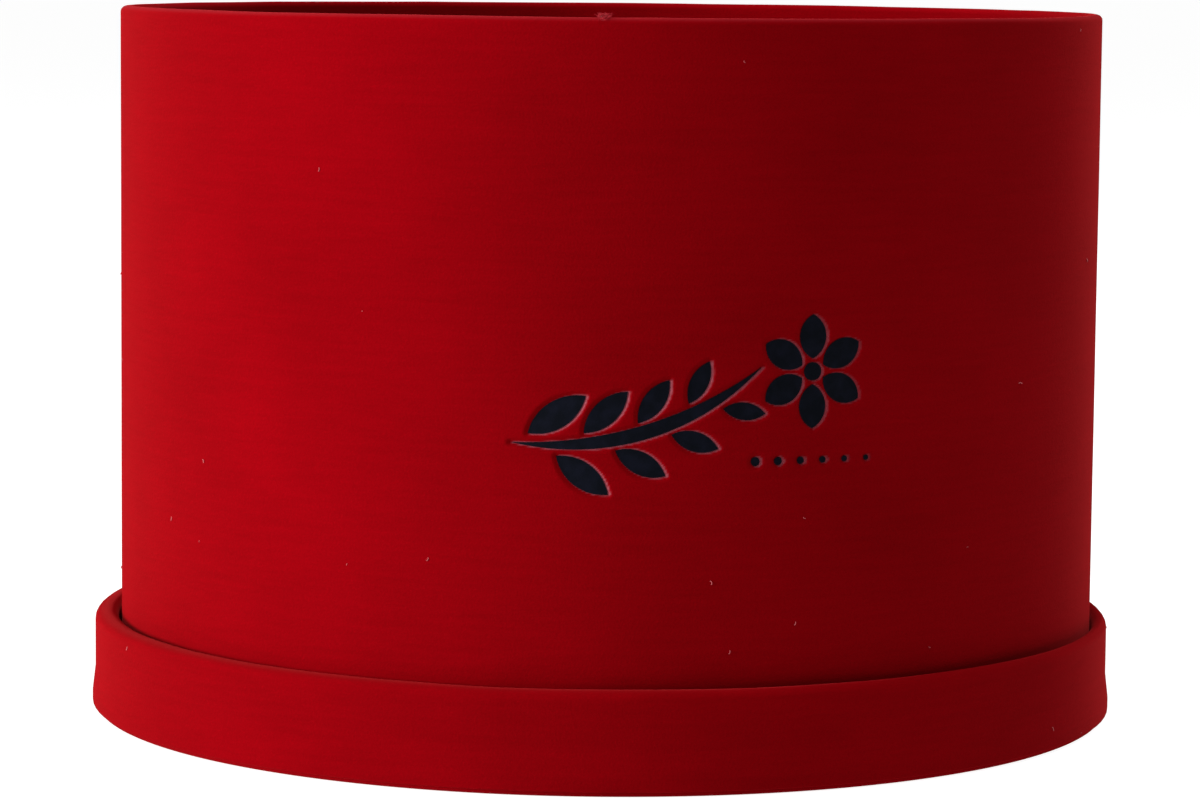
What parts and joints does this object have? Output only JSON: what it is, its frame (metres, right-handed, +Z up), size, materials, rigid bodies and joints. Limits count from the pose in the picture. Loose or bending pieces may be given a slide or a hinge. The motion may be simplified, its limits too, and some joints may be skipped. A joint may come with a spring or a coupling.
{
  "type": "flower box",
  "caption": "Round velvet-covered board box for a flower arrangement, open at the top, with a stamped sprig on its front, standing in its own upturned lid.",
  "frame": {"origin": "centre of the lid's face, on the surface that it lies on", "axes": "+Z up, -Y towards the stamped emblem, +Y towards the seams, +X to the right for someone who looks at the emblem"},
  "size_m": [0.21, 0.21, 0.1431],
  "materials": {
    "velvet": "matte",
    "board": "matte",
    "stay_paper": "matte",
    "coated_paper": "satin",
    "cover_paper": "matte",
    "stamping_film": "satin"
  },
  "bodies": {
    "lid": {"lid_ring_board": "board", "lid_disc_board": "board", "lid_floor_lining": "coated_paper", "lid_face_velvet": "velvet", "lid_rim_velvet": "velvet"},
    "box": {"box_wall_board": "board", "box_base_board": "board", "box_corner_stay": "stay_paper", "box_wall_lining": "coated_paper", "box_floor_card": "coated_paper", "box_base_cover": "cover_paper", "box_wall_velvet": "velvet", "emblem_sprig_film": "stamping_film", "emblem_beads_film": "stamping_film"}
  },
  "joints": [
    {"name": "box_lift", "type": "slide", "parent": "lid", "child": "box", "axis": [0, 0, 1], "range_m": [0, 0.06]}
  ]
}
